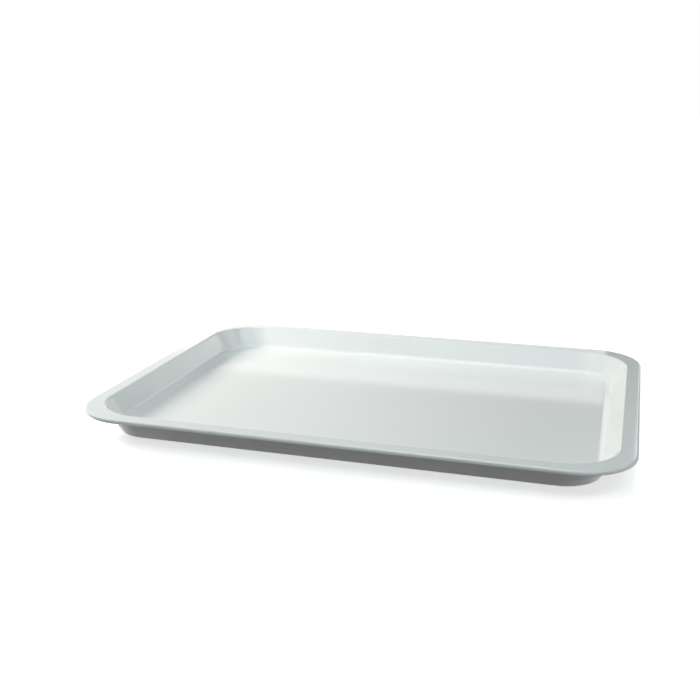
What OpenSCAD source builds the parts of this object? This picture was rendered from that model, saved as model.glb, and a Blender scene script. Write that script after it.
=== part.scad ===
// Flat tray for rolling paint: one plastic moulding with drafted walls, a flat rim whose edge
// turns down into a lip, and four non-slip pads seated in its base.
// Origin: centre of the tray on the surface it rests on. +X along the length, +Z up.

/* [Tray] */
// Overall length along X, over the rim
tray_len = 400; // [300:5:600]
// Overall width along Y, over the rim
tray_wid = 300; // [220:5:450]
// Overall height, from the underside of the pads to the top of the rim
tray_h = 21; // [16:0.5:40]

/* [Rim] */
// Width of the flat rim, from its outer edge to the start of the wall
rim_w = 12; // [10:0.5:25]
// Thickness of the flat rim
rim_t = 2.4; // [1.6:0.1:3]
// Outer corner radius of the rim
rim_corner_r = 42; // [30:1:60]
// Height of the turned-down lip on the rim's outer edge
lip_drop = 3.2; // [3:0.1:6]
// Thickness of the lip, measured along the rim
lip_w = 3; // [2.4:0.1:5]
// Rounding on the lip's top edge
lip_top_r = 1.8; // [0.5:0.1:2]
// Rounding on the lip's two bottom edges
lip_low_r = 1.1; // [0.3:0.1:1.1]

/* [Walls] */
// Lean of the walls from the vertical, in degrees
wall_draft = 33; // [15:1:40]
// Thickness of the walls, square to their faces
wall_t = 2.2; // [1.6:0.1:3]
// Corner radius of the opening, where rim and wall meet
well_corner_r = 39; // [32:1:60]
// Rounding where the rim turns down into the wall
mouth_r = 2; // [0.5:0.1:3]
// Rounding inside, where the wall runs into the floor
floor_fillet_r = 8; // [3:0.5:9]
// Rounding outside, where the wall meets the underside of the rim
neck_r = 1.5; // [0.5:0.1:2]

/* [Base] */
// Thickness of the floor
floor_t = 2.4; // [1.8:0.1:4]
// Width of the raised foot ring under the edge of the base
foot_w = 8; // [5:0.5:12]
// How far the foot ring stands below the floor panel
foot_h = 0.8; // [0.4:0.1:1.5]
// Rounding on the foot ring's outer edge
foot_r = 1.6; // [0.5:0.1:2]
// Diameter of the shallow dimple left by the moulding gate
gate_d = 9; // [6:0.5:14]
// Depth of that dimple
gate_depth = 0.6; // [0.3:0.1:0.8]
// Diameter of the trimmed gate stub in the dimple
gate_stub_d = 2.6; // [1.5:0.1:4]

/* [Pads] */
// Diameter of a non-slip pad
pad_d = 16; // [10:0.5:22]
// Thickness of a non-slip pad
pad_t = 1.8; // [1.4:0.1:2.2]
// How far a pad stands below the foot ring
pad_proud = 0.4; // [0.2:0.1:0.6]
// Clearance round a pad in its seat
pad_gap = 0.2; // [0.1:0.05:0.4]
// Distance from the foot ring's inner edge to the pad's seat
pad_inset = 4; // [2:0.5:12]
// Chamfer on the pad's lower edge
pad_chamfer = 0.3; // [0.1:0.1:0.5]

/* [Hidden] */
$fn = 96;

// Levels
foot_z = pad_proud;
panel_z = foot_z + foot_h;
floor_z = panel_z + floor_t;
rim_z = tray_h - rim_t;

// The walls follow a rounded rectangle. A section is drawn with u, the distance outwards from the
// line through the corner centres, and z. The wall's corner centres lie at (wall_cx, wall_cy).
wall_cx = tray_len / 2 - rim_w - well_corner_r;
wall_cy = tray_wid / 2 - rim_w - well_corner_r;
// The lip follows a second rounded rectangle, with its own corner centres
lip_cx = tray_len / 2 - rim_corner_r;
lip_cy = tray_wid / 2 - rim_corner_r;

// Wall faces at height z, inside and outside
function inner_u(z) = well_corner_r - (tray_h - z) * tan(wall_draft);
function outer_u(z) = inner_u(z) + wall_t / cos(wall_draft);

foot_out_u = outer_u(foot_z);
foot_in_u = foot_out_u - foot_w;
// Past the neck's rounding, so that the wall section carries it whole
neck_u = outer_u(rim_z) + neck_r + 0.5;
lip_in_u = rim_corner_r - lip_w;
overlap = 1;

// Pad seats, in the base's corners
seat_r = pad_d / 2 + pad_gap;
seat_z = pad_t;
seat_off = foot_in_u - pad_inset - seat_r;
seat_x = wall_cx + seat_off * cos(45);
seat_y = wall_cy + seat_off * sin(45);

// The sliver between a corner and an arc of radius r that touches both of its edges.
// The edges leave the corner p at the angles a and b.
module corner_web(p, a, b, r) {
    half = (b - a) / 2;
    reach = r / tan(half);
    centre = p + r / sin(half) * [cos(a + half), sin(a + half)];
    difference() {
        polygon([p, p + reach * [cos(a), sin(a)], p + reach * [cos(b), sin(b)]]);
        translate(centre) circle(r = r);
    }
}

// Runs a section in u and z round a rounded rectangle with corner centres at (cx, cy)
module run_round(cx, cy) {
    for (k = [0:3]) {
        at = k % 2 == 0 ? [cx, cy] : [cy, cx];
        rotate(90 * k) translate([at.x, at.y, 0]) {
            rotate_extrude(angle = 90) children();
            rotate([90, 0, 0]) linear_extrude(2 * at.y) children();
        }
    }
}

// A rounded rectangle as a flat outline, with corner centres at (cx, cy)
module round_outline(cx, cy, r) {
    square([2 * (cx + r), 2 * cy], center = true);
    square([2 * cx, 2 * (cy + r)], center = true);
    for (x = [-cx, cx], y = [-cy, cy]) translate([x, y]) circle(r = r);
}

// Puts its children at the middle of one pad's seat, at the height z
module at_seat(x_side, y_side, z) {
    translate([x_side * seat_x, y_side * seat_y, z]) children();
}

// Section of the wall, from the foot ring up to the inner part of the rim
module wall_section() {
    mouth = [inner_u(tray_h), tray_h];
    floor_edge = [inner_u(floor_z), floor_z];
    neck = [outer_u(rim_z), rim_z];
    heel = [foot_out_u, foot_z];
    up_wall = 90 - wall_draft;
    difference() {
        polygon([
            [foot_in_u, foot_z], heel, neck, [neck_u, rim_z], [neck_u, tray_h], mouth,
            floor_edge, [foot_in_u - overlap, floor_z], [foot_in_u - overlap, panel_z],
            [foot_in_u, panel_z]
        ]);
        corner_web(mouth, up_wall - 180, 0, mouth_r);
        corner_web(heel, up_wall, 180, foot_r);
    }
    corner_web(floor_edge, up_wall, 180, floor_fillet_r);
    corner_web(neck, up_wall - 180, 0, neck_r);
}

// Section of the lip on the rim's outer edge
module lip_section() {
    low_z = tray_h - lip_drop;
    difference() {
        translate([lip_in_u, low_z]) square([lip_w, lip_drop]);
        corner_web([rim_corner_r, tray_h], 180, 270, lip_top_r);
        corner_web([rim_corner_r, low_z], 90, 180, lip_low_r);
        corner_web([lip_in_u, low_z], 0, 90, lip_low_r);
    }
}

// The whole moulding: floor panel, foot ring, walls, rim and lip in one piece
module tray() color([0.93, 0.95, 0.94]) {
    difference() {
        union() {
            run_round(wall_cx, wall_cy) wall_section();
            translate([0, 0, panel_z]) linear_extrude(floor_t)
                round_outline(wall_cx, wall_cy, foot_in_u);
            translate([0, 0, rim_z]) linear_extrude(rim_t) difference() {
                round_outline(lip_cx, lip_cy, lip_in_u + overlap);
                round_outline(wall_cx, wall_cy, neck_u - overlap);
            }
            run_round(lip_cx, lip_cy) lip_section();
        }
        for (x = [-1, 1], y = [-1, 1]) at_seat(x, y, 0) cylinder(h = seat_z, r = seat_r);
        translate([0, 0, panel_z - overlap]) difference() {
            cylinder(h = overlap + gate_depth, d = gate_d);
            cylinder(h = overlap + gate_depth, d = gate_stub_d);
        }
    }
}

// A stick-on rubber disc in the base's corner at (x_side, y_side), each -1 or 1
module pad(x_side, y_side) color([0.55, 0.56, 0.57]) at_seat(x_side, y_side, 0) {
    cylinder(h = pad_chamfer, d1 = pad_d - 2 * pad_chamfer, d2 = pad_d);
    translate([0, 0, pad_chamfer]) cylinder(h = pad_t - pad_chamfer, d = pad_d);
}

module pad_front_left() pad(-1, -1);
module pad_front_right() pad(1, -1);
module pad_back_left() pad(-1, 1);
module pad_back_right() pad(1, 1);

tray();
pad_front_left();
pad_front_right();
pad_back_left();
pad_back_right();
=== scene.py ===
import bmesh
import bpy
import math
from mathutils import Matrix, Vector


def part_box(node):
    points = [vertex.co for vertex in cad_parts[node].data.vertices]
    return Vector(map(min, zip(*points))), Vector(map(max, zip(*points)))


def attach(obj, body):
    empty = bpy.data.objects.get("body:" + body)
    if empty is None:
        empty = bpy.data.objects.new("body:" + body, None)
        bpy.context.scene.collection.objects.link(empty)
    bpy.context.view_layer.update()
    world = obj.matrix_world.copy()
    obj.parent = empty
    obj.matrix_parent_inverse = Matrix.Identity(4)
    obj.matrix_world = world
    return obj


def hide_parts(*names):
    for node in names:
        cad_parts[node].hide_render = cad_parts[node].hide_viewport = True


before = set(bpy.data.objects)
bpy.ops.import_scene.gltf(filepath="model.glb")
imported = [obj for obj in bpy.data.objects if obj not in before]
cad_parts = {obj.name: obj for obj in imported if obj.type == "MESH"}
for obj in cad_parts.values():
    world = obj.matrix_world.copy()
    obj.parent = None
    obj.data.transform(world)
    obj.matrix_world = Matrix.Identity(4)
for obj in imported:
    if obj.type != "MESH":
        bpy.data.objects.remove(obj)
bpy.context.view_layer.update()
scene = bpy.context.scene


# ---- Tray --------------------------------------------------------------------------------------
# One moulding of white gloss plastic: floor panel on a foot ring, sloping walls, flat rim and a
# turned-down lip. Walls and rim are polished in the mould, the floor comes out with a satin grain.

RIM_WIDTH = 0.012
RIM_THICKNESS = 0.0024
RIM_CORNER = 0.042
LIP_DROP = 0.0032
LIP_THICKNESS = 0.003
LIP_TOP_ROUND = 0.0018
LIP_LOW_ROUND = 0.0011
LIP_INSIDE_ROUND = 0.00066
MOUTH_CORNER = 0.039
MOUTH_ROUND = 0.002
WALL_LEAN = math.radians(33)
WALL_THICKNESS = 0.0022
NECK_ROUND = 0.0015
FLOOR_THICKNESS = 0.0024
FLOOR_ROUND = 0.008
FOOT_WIDTH = 0.008
FOOT_HEIGHT = 0.0008
FOOT_ROUND = 0.0016
FOOT_CREASE = 0.0003
RIM_CREASE = 0.000075
# A narrow level band inside the foot and round each pit, so that the creases have room
COLLAR = 0.001
CORNER_STEPS = 40

tray_low, tray_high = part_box("tray")
rim_z = tray_high.z - RIM_THICKNESS
lip_z = tray_high.z - LIP_DROP
foot_z = tray_low.z
panel_z = foot_z + FOOT_HEIGHT
floor_z = panel_z + FLOOR_THICKNESS

# The walls' corners turn about one set of centres, the lip's about another
wall_centre = Vector(tray_high.xy) - Vector((1, 1)) * (RIM_WIDTH + MOUTH_CORNER)
lip_centre = Vector(tray_high.xy) - Vector((1, 1)) * RIM_CORNER


def inner_radius(z):
    """Corner radius of the walls' inner face at height z."""
    return MOUTH_CORNER - (tray_high.z - z) * math.tan(WALL_LEAN)


def outer_radius(z):
    """Corner radius of the walls' outer face at height z."""
    return inner_radius(z) + WALL_THICKNESS / math.cos(WALL_LEAN)


def next_ring(mesh, edges):
    """Extrude a ring of edges in place, and give the new ring's verts and edges."""
    parts = bmesh.ops.extrude_edge_only(mesh, edges=edges)["geom"]
    verts = [part for part in parts if isinstance(part, bmesh.types.BMVert)]
    ring = [part for part in parts if isinstance(part, bmesh.types.BMEdge)
            and all(vert in verts for vert in part.verts)]
    return verts, ring


def round_edge(mesh, edges, radius, turn, steps):
    """Round a run of edges where the surface turns by the angle turn."""
    return bmesh.ops.bevel(mesh, geom=edges, offset=radius * math.tan(turn / 2), affect="EDGES",
                           offset_type="OFFSET", segments=steps, profile=0.5, material=-1)


right_angle = math.radians(90)
wall_turn = right_angle - WALL_LEAN

# From the panel's edge down and out round the foot, up the outside, round the lip and down inside:
# corner centres, corner radius, height, rounding, how far the surface turns, steps of the rounding
tray_edges = [
    (wall_centre, outer_radius(foot_z) - FOOT_WIDTH - COLLAR, panel_z, 0, 0, 0),
    (wall_centre, outer_radius(foot_z) - FOOT_WIDTH, panel_z, FOOT_CREASE, right_angle, 3),
    (wall_centre, outer_radius(foot_z) - FOOT_WIDTH, foot_z, FOOT_CREASE, right_angle, 3),
    (wall_centre, outer_radius(foot_z), foot_z, FOOT_ROUND, wall_turn, 6),
    (wall_centre, outer_radius(rim_z), rim_z, NECK_ROUND, wall_turn, 6),
    (lip_centre, RIM_CORNER - LIP_THICKNESS, rim_z, RIM_CREASE, right_angle, 2),
    (lip_centre, RIM_CORNER - LIP_THICKNESS, lip_z, LIP_INSIDE_ROUND, right_angle, 5),
    (lip_centre, RIM_CORNER, lip_z, LIP_LOW_ROUND, right_angle, 8),
    (lip_centre, RIM_CORNER, tray_high.z, LIP_TOP_ROUND, right_angle, 12),
    (wall_centre, MOUTH_CORNER, tray_high.z, MOUTH_ROUND, wall_turn, 10),
    (wall_centre, inner_radius(floor_z), floor_z, FLOOR_ROUND, wall_turn, 12),
]

tray_mesh = bmesh.new()
centre, radius, z, *_ = tray_edges[0]
verts = bmesh.ops.create_grid(tray_mesh, x_segments=1, y_segments=1, size=1)["verts"]
bmesh.ops.scale(tray_mesh, vec=(centre.x + radius, centre.y + radius, 1), verts=verts)
bmesh.ops.translate(tray_mesh, vec=(0, 0, z), verts=verts)
bmesh.ops.bevel(tray_mesh, geom=verts, offset=radius, offset_type="OFFSET", affect="VERTICES",
                segments=CORNER_STEPS, profile=0.5, material=-1)
bmesh.ops.delete(tray_mesh, geom=tray_mesh.faces[:], context="FACES_ONLY")
loops = [tray_mesh.edges[:]]

# Each further edge is the last one carried on: its corner arcs are rescaled, then moved
for next_centre, next_radius, next_z, *_ in tray_edges[1:]:
    verts, loop = next_ring(tray_mesh, loops[-1])
    grow = next_radius / radius
    for side in (Vector((1, 1)), Vector((-1, 1)), Vector((-1, -1)), Vector((1, -1))):
        corner = [vert for vert in verts if vert.co.x * side.x > 0 and vert.co.y * side.y > 0]
        about = Matrix.Translation(-(side * centre).to_3d())
        bmesh.ops.scale(tray_mesh, vec=(grow, grow, 1), space=about, verts=corner)
        move = (side * (next_centre - centre)).to_3d() + Vector((0, 0, next_z - z))
        bmesh.ops.translate(tray_mesh, vec=move, verts=corner)
    loops.append(loop)
    centre, radius, z = next_centre, next_radius, next_z
bmesh.ops.contextual_create(tray_mesh, geom=loops[-1])

# The underside panel, with four seats for the pads and the gate's dimple in the middle
PAD_GAP = 0.0002
GATE_RADIUS = 0.0045
GATE_DEPTH = 0.0006
GATE_STUB_RADIUS = 0.0013
PIT_CREASE = 0.00015
PIT_STEPS = 64
CREASE_STEPS = 2

pad_low, pad_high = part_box("pad_front_left")
pad_radius = (pad_high.x - pad_low.x) / 2
pad_spot = -(pad_low + pad_high) / 2
seats = [(side_x * pad_spot.x, side_y * pad_spot.y) for side_x in (-1, 1) for side_y in (-1, 1)]


def sink_pit(mesh, x, y, radius, depth):
    """Sink a round pit in the underside, and give its collar's, mouth's and end's edges."""
    spot = Matrix.Translation((x, y, panel_z))
    verts = bmesh.ops.create_circle(mesh, segments=PIT_STEPS, radius=radius + COLLAR / 2,
                                    cap_ends=False, matrix=spot)["verts"]
    collar = list({edge for vert in verts for edge in vert.link_edges})
    verts, mouth = next_ring(mesh, collar)
    shrink = radius / (radius + COLLAR / 2)
    bmesh.ops.scale(mesh, vec=(shrink, shrink, 1), space=spot.inverted(), verts=verts)
    verts, end = next_ring(mesh, mouth)
    bmesh.ops.translate(mesh, vec=(0, 0, depth), verts=verts)
    return collar, mouth, end


pit_collars = []
pit_mouths = []
for x, y in seats:
    collar, mouth, end = sink_pit(tray_mesh, x, y, pad_radius + PAD_GAP, pad_high.z - panel_z)
    bmesh.ops.contextual_create(tray_mesh, geom=end)
    pit_collars += collar
    pit_mouths += mouth

# The gate was trimmed level with the panel, which leaves a stub in the dimple
collar, mouth, end = sink_pit(tray_mesh, 0, 0, GATE_RADIUS, GATE_DEPTH)
pit_collars += collar
pit_mouths += mouth
verts, end = next_ring(tray_mesh, end)
shrink = GATE_STUB_RADIUS / GATE_RADIUS
bmesh.ops.scale(tray_mesh, vec=(shrink, shrink, 1), verts=verts)
verts, end = next_ring(tray_mesh, end)
bmesh.ops.translate(tray_mesh, vec=(0, 0, -GATE_DEPTH), verts=verts)
bmesh.ops.contextual_create(tray_mesh, geom=end)

bmesh.ops.triangle_fill(tray_mesh, use_beauty=True, use_dissolve=False,
                        edges=loops[0] + pit_collars, normal=(0, 0, -1))

for edges, (*_, rounding, turn, steps) in zip(loops[1:], tray_edges[1:]):
    round_edge(tray_mesh, edges, rounding, turn, steps)
round_edge(tray_mesh, pit_mouths, PIT_CREASE, right_angle, CREASE_STEPS)
bmesh.ops.recalc_face_normals(tray_mesh, faces=tray_mesh.faces)

# The satin grain fades out where the floor's rounding turns up into the polished wall, and on the
# outside over the same height above the underside panel
SATIN_RISE = 0.0045

satin = tray_mesh.verts.layers.float.new("satin")
for vert in tray_mesh.verts:
    inside = vert.link_faces[0].normal.z > 0
    rise = vert.co.z - (floor_z if inside else panel_z)
    polish = min(max(rise / SATIN_RISE, 0), 1)
    vert[satin] = 1 - polish * polish * (3 - 2 * polish)
for face in tray_mesh.faces:
    face.smooth = True

tray_data = bpy.data.meshes.new("white_tray")
tray_mesh.to_mesh(tray_data)
tray_mesh.free()
white_tray = bpy.data.objects.new("white_tray", tray_data)
scene.collection.objects.link(white_tray)
white_tray.modifiers.new("Flats", "WEIGHTED_NORMAL")

# Grain left by the mould: fine pimples for the surface, and a broad cloudiness for its tone
grain = bpy.data.node_groups.new("Moulded grain", "ShaderNodeTree")
grain.interface.new_socket("Pimple Scale", in_out="INPUT", socket_type="NodeSocketFloat")
grain.interface.new_socket("Cloud Scale", in_out="INPUT", socket_type="NodeSocketFloat")
grain.interface.new_socket("Pimples", in_out="OUTPUT", socket_type="NodeSocketFloat")
grain.interface.new_socket("Clouds", in_out="OUTPUT", socket_type="NodeSocketFloat")
grain_in = grain.nodes.new("NodeGroupInput")
grain_out = grain.nodes.new("NodeGroupOutput")
place = grain.nodes.new("ShaderNodeTexCoord")
pimples = grain.nodes.new("ShaderNodeTexNoise")
pimples.inputs["Detail"].default_value = 2
pimples.inputs["Roughness"].default_value = 0.6
clouds = grain.nodes.new("ShaderNodeTexNoise")
clouds.inputs["Detail"].default_value = 3
clouds.inputs["Roughness"].default_value = 0.5
grain.links.new(place.outputs["Object"], pimples.inputs["Vector"])
grain.links.new(place.outputs["Object"], clouds.inputs["Vector"])
grain.links.new(grain_in.outputs["Pimple Scale"], pimples.inputs["Scale"])
grain.links.new(grain_in.outputs["Cloud Scale"], clouds.inputs["Scale"])
grain.links.new(pimples.outputs["Fac"], grain_out.inputs["Pimples"])
grain.links.new(clouds.outputs["Fac"], grain_out.inputs["Clouds"])

# White plastic: cool white, mirror-smooth on walls and rim, fine satin on the floor
PLASTIC_DEEP = (0.706, 0.738, 0.708, 1)
PLASTIC_PALE = (0.810, 0.840, 0.808, 1)
CLOUD_TONE = 0.2
# How far the satin floor's colour is painted paler, as a painted sheen
PAINTED_SATIN_SHEEN = 0.8
POLISHED = 0.05
SATIN = 0.36
SATIN_GLOSS = 0.85
SATIN_GLOSS_BLUR = 0.055
SMUDGE = 0.02
MOULD_PIMPLES = 1500
MOULD_CLOUDS = 14
PIMPLE_STRENGTH = 0.35
PIMPLE_HEIGHT = 0.00005
WAVE_STRENGTH = 0.15
WAVE_HEIGHT = 0.0001

plastic = bpy.data.materials.new("White gloss plastic")
plastic.use_nodes = True
nodes = plastic.node_tree.nodes
links = plastic.node_tree.links
shader = nodes["Principled BSDF"]
shader.inputs["IOR"].default_value = 1.5
shader.inputs["Coat Roughness"].default_value = SATIN_GLOSS_BLUR

mould = nodes.new("ShaderNodeGroup")
mould.node_tree = grain
mould.inputs["Pimple Scale"].default_value = MOULD_PIMPLES
mould.inputs["Cloud Scale"].default_value = MOULD_CLOUDS

# The colour runs from deep to pale with the random clouds of the moulding, and further towards
# pale on the floor as painted sheen
tone = nodes.new("ShaderNodeMix")
tone.data_type = "RGBA"
tone.inputs["A"].default_value = PLASTIC_DEEP
tone.inputs["B"].default_value = PLASTIC_PALE
links.new(tone.outputs["Result"], shader.inputs["Base Color"])

# The floor's colour is painted a little paler than the polished rim, a painted sheen for the light
# that its satin grain scatters
satin_mask = nodes.new("ShaderNodeAttribute")
satin_mask.attribute_name = "satin"
cloud_tone = nodes.new("ShaderNodeMath")
cloud_tone.operation = "MULTIPLY"
cloud_tone.inputs[1].default_value = CLOUD_TONE
links.new(mould.outputs["Clouds"], cloud_tone.inputs[0])
sheen_and_cloud_tone = nodes.new("ShaderNodeMath")
sheen_and_cloud_tone.operation = "MULTIPLY_ADD"
sheen_and_cloud_tone.inputs[1].default_value = PAINTED_SATIN_SHEEN
links.new(satin_mask.outputs["Fac"], sheen_and_cloud_tone.inputs[0])
links.new(cloud_tone.outputs["Value"], sheen_and_cloud_tone.inputs[2])
links.new(sheen_and_cloud_tone.outputs["Value"], tone.inputs["Factor"])

# Walls and rim are mirror-smooth, and the floor's satin has a thin clear gloss over it
sheen = nodes.new("ShaderNodeMix")
sheen.inputs["A"].default_value = POLISHED
sheen.inputs["B"].default_value = SATIN
links.new(satin_mask.outputs["Fac"], sheen.inputs["Factor"])
smudge = nodes.new("ShaderNodeMath")
smudge.operation = "MULTIPLY_ADD"
smudge.inputs[1].default_value = SMUDGE
links.new(mould.outputs["Clouds"], smudge.inputs[0])
links.new(sheen.outputs["Result"], smudge.inputs[2])
links.new(smudge.outputs["Value"], shader.inputs["Roughness"])
satin_gloss = nodes.new("ShaderNodeMath")
satin_gloss.operation = "MULTIPLY"
satin_gloss.inputs[1].default_value = SATIN_GLOSS
links.new(satin_mask.outputs["Fac"], satin_gloss.inputs[0])
links.new(satin_gloss.outputs["Value"], shader.inputs["Coat Weight"])

# Pimples only on the satin, and a faint waviness all over
pimple_height = nodes.new("ShaderNodeMath")
pimple_height.operation = "MULTIPLY"
links.new(mould.outputs["Pimples"], pimple_height.inputs[0])
links.new(satin_mask.outputs["Fac"], pimple_height.inputs[1])
pimple_bump = nodes.new("ShaderNodeBump")
pimple_bump.inputs["Strength"].default_value = PIMPLE_STRENGTH
pimple_bump.inputs["Distance"].default_value = PIMPLE_HEIGHT
links.new(pimple_height.outputs["Value"], pimple_bump.inputs["Height"])
wave_bump = nodes.new("ShaderNodeBump")
wave_bump.inputs["Strength"].default_value = WAVE_STRENGTH
wave_bump.inputs["Distance"].default_value = WAVE_HEIGHT
links.new(mould.outputs["Clouds"], wave_bump.inputs["Height"])
links.new(pimple_bump.outputs["Normal"], wave_bump.inputs["Normal"])
links.new(wave_bump.outputs["Normal"], shader.inputs["Normal"])

tray_data.materials.append(plastic)
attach(white_tray, "root")
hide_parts("tray")


# ---- Pads --------------------------------------------------------------------------------------
# Four grey rubber discs, punched from sheet and stuck in their seats under the corners, so that
# the tray doesn't slide while the roller is loaded. The CAD discs stay, with a rubber finish.

RUBBER_DARK = (0.062, 0.066, 0.070, 1)
RUBBER_PALE = (0.095, 0.100, 0.104, 1)
RUBBER_SHINIEST = 0.7
RUBBER_DULLEST = 0.9
RUBBER_PIMPLES = 2600
RUBBER_CLOUDS = 160
RUBBER_BUMP_STRENGTH = 0.6
RUBBER_BUMP_HEIGHT = 0.0001

rubber = bpy.data.materials.new("Grey pad rubber")
rubber.use_nodes = True
nodes = rubber.node_tree.nodes
links = rubber.node_tree.links
shader = nodes["Principled BSDF"]
sheet = nodes.new("ShaderNodeGroup")
sheet.node_tree = grain
sheet.inputs["Pimple Scale"].default_value = RUBBER_PIMPLES
sheet.inputs["Cloud Scale"].default_value = RUBBER_CLOUDS

scuff = nodes.new("ShaderNodeMix")
scuff.data_type = "RGBA"
scuff.inputs["A"].default_value = RUBBER_DARK
scuff.inputs["B"].default_value = RUBBER_PALE
links.new(sheet.outputs["Clouds"], scuff.inputs["Factor"])
links.new(scuff.outputs["Result"], shader.inputs["Base Color"])

dullness = nodes.new("ShaderNodeMapRange")
dullness.inputs["To Min"].default_value = RUBBER_SHINIEST
dullness.inputs["To Max"].default_value = RUBBER_DULLEST
links.new(sheet.outputs["Clouds"], dullness.inputs["Value"])
links.new(dullness.outputs["Result"], shader.inputs["Roughness"])

sheet_bump = nodes.new("ShaderNodeBump")
sheet_bump.inputs["Strength"].default_value = RUBBER_BUMP_STRENGTH
sheet_bump.inputs["Distance"].default_value = RUBBER_BUMP_HEIGHT
links.new(sheet.outputs["Pimples"], sheet_bump.inputs["Height"])
links.new(sheet_bump.outputs["Normal"], shader.inputs["Normal"])

for name in ("pad_front_left", "pad_front_right", "pad_back_left", "pad_back_right"):
    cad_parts[name].material_slots[0].material = rubber


# ---- Table -------------------------------------------------------------------------------------
# The white glossy table that the tray is shown on. To the eye and in gloss it shines a little by
# itself and so looks white, with the tray's shadow kept, but it gives the tray little light.

TABLE_REACH = 6
TABLE_GAP = 0.0001
TABLE_SEEN = (0.9, 0.9, 0.9, 1)
TABLE_THROWN = (0.06, 0.06, 0.06, 1)
TABLE_BLUR = 0.16
TABLE_LIFT = 0.58
TABLE_NEAR = 0.4
TABLE_FAR = 1.3

table_finish = bpy.data.materials.new("White gloss table")
table_finish.use_nodes = True
nodes = table_finish.node_tree.nodes
links = table_finish.node_tree.links
shader = nodes["Principled BSDF"]
shader.inputs["Roughness"].default_value = TABLE_BLUR
shader.inputs["IOR"].default_value = 1.45
shader.inputs["Emission Color"].default_value = (1, 1, 1, 1)

# The eye sees the table white, and it throws little light back on the tray
seen_by = nodes.new("ShaderNodeLightPath")
table_tone = nodes.new("ShaderNodeMix")
table_tone.data_type = "RGBA"
table_tone.inputs["A"].default_value = TABLE_SEEN
table_tone.inputs["B"].default_value = TABLE_THROWN
links.new(seen_by.outputs["Is Diffuse Ray"], table_tone.inputs["Factor"])
links.new(table_tone.outputs["Result"], shader.inputs["Base Color"])

# Away from the lamps the table would turn grey, so its own shine rises to full white there
place = nodes.new("ShaderNodeTexCoord")
reach = nodes.new("ShaderNodeVectorMath")
reach.operation = "LENGTH"
lift = nodes.new("ShaderNodeMapRange")
lift.inputs["From Min"].default_value = TABLE_NEAR
lift.inputs["From Max"].default_value = TABLE_FAR
lift.inputs["To Min"].default_value = TABLE_LIFT
lift.inputs["To Max"].default_value = 1
eye_or_gloss = nodes.new("ShaderNodeMath")
eye_or_gloss.operation = "SUBTRACT"
eye_or_gloss.inputs[0].default_value = 1
shine = nodes.new("ShaderNodeMath")
shine.operation = "MULTIPLY"
links.new(place.outputs["Object"], reach.inputs[0])
links.new(reach.outputs["Value"], lift.inputs["Value"])
links.new(seen_by.outputs["Is Diffuse Ray"], eye_or_gloss.inputs[1])
links.new(lift.outputs["Result"], shine.inputs[0])
links.new(eye_or_gloss.outputs["Value"], shine.inputs[1])
links.new(shine.outputs["Value"], shader.inputs["Emission Strength"])

# From below the table can be looked through, so that the underside can be seen
nothing = nodes.new("ShaderNodeBsdfTransparent")
side = nodes.new("ShaderNodeNewGeometry")
top_only = nodes.new("ShaderNodeMixShader")
links.new(side.outputs["Backfacing"], top_only.inputs["Fac"])
links.new(shader.outputs["BSDF"], top_only.inputs[1])
links.new(nothing.outputs["BSDF"], top_only.inputs[2])
links.new(top_only.outputs["Shader"], nodes["Material Output"].inputs["Surface"])

table_mesh = bmesh.new()
table_top = Matrix.Translation((0, 0, -TABLE_GAP))
bmesh.ops.create_grid(table_mesh, x_segments=1, y_segments=1, size=TABLE_REACH, matrix=table_top)
table_data = bpy.data.meshes.new("table")
table_mesh.to_mesh(table_data)
table_mesh.free()
table_data.materials.append(table_finish)
table = bpy.data.objects.new("table", table_data)
scene.collection.objects.link(table)


# ---- Screens -----------------------------------------------------------------------------------
# Two white boards stand behind the tray, and a dim grey screen runs all round it. Only gloss shows
# them: the floor mirrors the low board's top edge, and the left wall mirrors the side board.

BOARD_BACK = 1.2
LOW_BOARD_LEFT = -2.4
LOW_BOARD_RIGHT = 0.15
LOW_BOARD_TOP = 0.375
SIDE_BOARD_LEFT = 0.22
SIDE_BOARD_FULL = 0.28
SIDE_BOARD_RIGHT = 0.58
SIDE_BOARD_TOP = 0.7
SIDE_BOARD_GLOW = 1.7
SCREEN_RADIUS = 1.5
SCREEN_TOP = 1.9
SCREEN_STEPS = 96
SCREEN_GREY = 0.24
SCREEN_GREY_RIGHT = -0.48
SCREEN_BLACK_LEFT = -0.02
SCREEN_FRONT = 0.2


def stage_glow(name, mesh):
    """Put a glowing stage piece in the scene that only gloss shows, and give its node tree."""
    finish = bpy.data.materials.new(name)
    finish.use_nodes = True
    data = bpy.data.meshes.new(name)
    mesh.to_mesh(data)
    mesh.free()
    data.materials.append(finish)
    piece = bpy.data.objects.new(name, data)
    piece.visible_camera = False
    piece.visible_diffuse = False
    piece.visible_shadow = False
    scene.collection.objects.link(piece)
    tree = finish.node_tree
    glow = tree.nodes.new("ShaderNodeEmission")
    glow.inputs["Strength"].default_value = 1
    tree.links.new(glow.outputs["Emission"], tree.nodes["Material Output"].inputs["Surface"])
    return tree.nodes, tree.links, glow


def board(left, right, top):
    """Make an upright board behind the tray, from the table up to its top edge."""
    mesh = bmesh.new()
    bmesh.ops.create_grid(mesh, x_segments=1, y_segments=1, size=0.5)
    stand = Matrix.Translation(((left + right) / 2, BOARD_BACK, top / 2))
    stand = stand @ Matrix.Rotation(right_angle, 4, "X")
    stand = stand @ Matrix.Diagonal((right - left, top, 1, 1))
    bmesh.ops.transform(mesh, matrix=stand, verts=mesh.verts)
    return mesh


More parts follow.
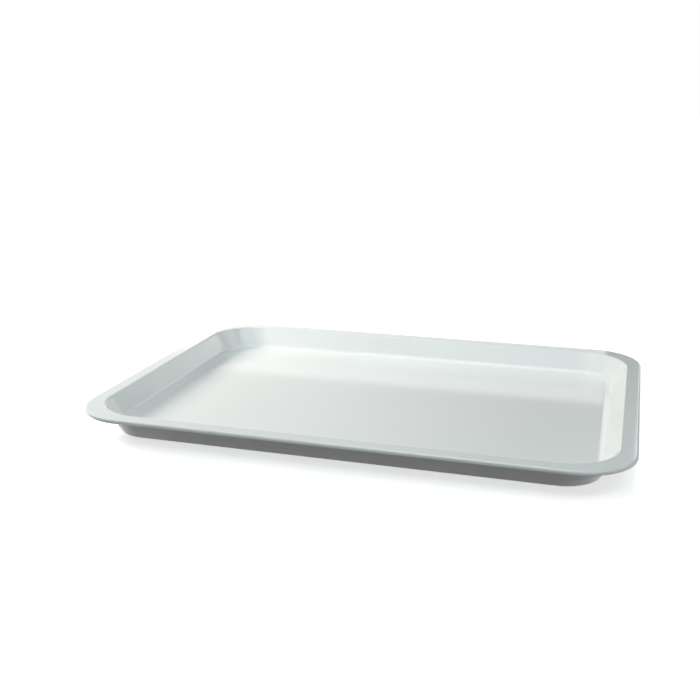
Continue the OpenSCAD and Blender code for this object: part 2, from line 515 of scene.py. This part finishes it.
def fade_right(nodes, links, glow_left, left, right):
    """Make a glow that fades from left to nothing at right; give it and the place it reads."""
    place = nodes.new("ShaderNodeTexCoord")
    across = nodes.new("ShaderNodeSeparateXYZ")
    fade = nodes.new("ShaderNodeMapRange")
    fade.inputs["From Min"].default_value = left
    fade.inputs["From Max"].default_value = right
    fade.inputs["To Min"].default_value = glow_left
    fade.inputs["To Max"].default_value = 0
    links.new(place.outputs["Object"], across.inputs["Vector"])
    links.new(across.outputs["X"], fade.inputs["Value"])
    return fade, across


stage_glow("white_board", board(LOW_BOARD_LEFT, LOW_BOARD_RIGHT, LOW_BOARD_TOP))

side_mesh = board(SIDE_BOARD_LEFT, SIDE_BOARD_RIGHT, SIDE_BOARD_TOP)
nodes, links, glow = stage_glow("side_board", side_mesh)
fade, across = fade_right(nodes, links, SIDE_BOARD_GLOW, SIDE_BOARD_FULL, SIDE_BOARD_RIGHT)
links.new(fade.outputs["Result"], glow.inputs["Strength"])

# The screen is grey on the left, black straight behind the tray, and grey again in front of it
screen_mesh = bmesh.new()
bmesh.ops.create_cone(screen_mesh, cap_ends=False, segments=SCREEN_STEPS,
                      radius1=SCREEN_RADIUS, radius2=SCREEN_RADIUS, depth=SCREEN_TOP,
                      matrix=Matrix.Translation((0, 0, SCREEN_TOP / 2)))
nodes, links, glow = stage_glow("grey_screen", screen_mesh)
fade, across = fade_right(nodes, links, SCREEN_GREY, SCREEN_GREY_RIGHT, SCREEN_BLACK_LEFT)
front = nodes.new("ShaderNodeMath")
front.operation = "MULTIPLY"
front.inputs[1].default_value = -SCREEN_FRONT
brighter = nodes.new("ShaderNodeMath")
brighter.operation = "MAXIMUM"
links.new(across.outputs["Y"], front.inputs[0])
links.new(fade.outputs["Result"], brighter.inputs[0])
links.new(front.outputs["Value"], brighter.inputs[1])
links.new(brighter.outputs["Value"], glow.inputs["Strength"])


# ---- Light -------------------------------------------------------------------------------------
# Plain studio light: a small bright lamp low on the left, softboxes in front, on the right and
# above, and a white room whose weak light comes from the front right.

ROOM_LIGHT = 0.74
ROOM_LIGHT_BEARING = math.radians(-30)

room = bpy.data.worlds.new("Studio")
scene.world = room
room.use_nodes = True
nodes = room.node_tree.nodes
links = room.node_tree.links
weak_light = nodes["Background"]
weak_light.inputs["Color"].default_value = (1, 1, 1, 1)
place = nodes.new("ShaderNodeTexCoord")
facing = nodes.new("ShaderNodeVectorMath")
facing.operation = "DOT_PRODUCT"
from_side = Matrix.Rotation(ROOM_LIGHT_BEARING, 3, "Z") @ Vector((ROOM_LIGHT, 0, 0))
facing.inputs[1].default_value = from_side
one_side = nodes.new("ShaderNodeMath")
one_side.operation = "MAXIMUM"
one_side.inputs[1].default_value = 0
links.new(place.outputs["Generated"], facing.inputs[0])
links.new(facing.outputs["Value"], one_side.inputs[0])
links.new(one_side.outputs["Value"], weak_light.inputs["Strength"])

# The eye, gloss and glass all see the room plain white
white_room = nodes.new("ShaderNodeBackground")
white_room.inputs["Color"].default_value = (1, 1, 1, 1)
seen_by = nodes.new("ShaderNodeLightPath")
eye_or_gloss = nodes.new("ShaderNodeMath")
eye_or_gloss.operation = "ADD"
eye_gloss_or_glass = nodes.new("ShaderNodeMath")
eye_gloss_or_glass.operation = "ADD"
eye_gloss_or_glass.use_clamp = True
choice = nodes.new("ShaderNodeMixShader")
links.new(seen_by.outputs["Is Camera Ray"], eye_or_gloss.inputs[0])
links.new(seen_by.outputs["Is Glossy Ray"], eye_or_gloss.inputs[1])
links.new(eye_or_gloss.outputs["Value"], eye_gloss_or_glass.inputs[0])
links.new(seen_by.outputs["Is Transmission Ray"], eye_gloss_or_glass.inputs[1])
links.new(eye_gloss_or_glass.outputs["Value"], choice.inputs["Fac"])
links.new(weak_light.outputs["Background"], choice.inputs[1])
links.new(white_room.outputs["Background"], choice.inputs[2])
links.new(choice.outputs["Shader"], nodes["World Output"].inputs["Surface"])

# Each lamp: bearing from +X, how far off and how high, tilt down, width, height, watts, colour
softboxes = {
    "left_key": (173, 0.72, 0.337, 0, 0.359, 0.261, 8.0, (1.0, 0.94, 0.90)),
    "front_left": (262, 0.80, 1.06, 52.5, 1.5, 0.52, 4.4, (0.80, 0.90, 1.0)),
    "front_right": (325, 0.80, 1.06, 52.5, 0.56, 0.52, 2.3, (0.80, 0.90, 1.0)),
    "right": (18, 1.23, 0.944, 37.5, 0.799, 0.463, 1.0, (0.95, 1.0, 0.98)),
    "overhead": (180, 0.1, 1.5, 90, 0.9, 0.7, 4.4, (0.86, 0.96, 1.0)),
}
for name, (bearing, away, rise, tilt, width, height, watts, colour) in softboxes.items():
    lamp = bpy.data.lights.new(name, "AREA")
    lamp.shape = "RECTANGLE"
    lamp.size = width
    lamp.size_y = height
    lamp.energy = watts
    lamp.color = colour
    softbox = bpy.data.objects.new(name, lamp)
    turn = Matrix.Rotation(math.radians(bearing + 90), 3, "Z")
    softbox.location = turn @ Vector((0, -away, rise))
    tip = Matrix.Rotation(math.radians(90 - tilt), 3, "X")
    softbox.rotation_euler = (turn @ tip).to_euler()
    softbox.visible_camera = False
    # The small key lamp would show as a burnt-out patch in the glossy floor from the right
    softbox.visible_glossy = name != "left_key"
    scene.collection.objects.link(softbox)


# ---- Camera ------------------------------------------------------------------------------------
# A long lens from the front, a little to the right and about 14 degrees above the rim.

camera_data = bpy.data.cameras.new("camera")
camera_data.sensor_width = 36
camera_data.lens = 51.25
camera_data.shift_x = 0.0428
camera_data.shift_y = -0.0290
camera_data.clip_start = 0.02
camera = bpy.data.objects.new("camera", camera_data)
camera.location = (0.18701, -0.74796, 0.25832)
camera.rotation_euler = (math.radians(90 - 14.22), math.radians(0.12), math.radians(17.64))
scene.collection.objects.link(camera)
scene.camera = camera
scene.view_settings.view_transform = "Standard"
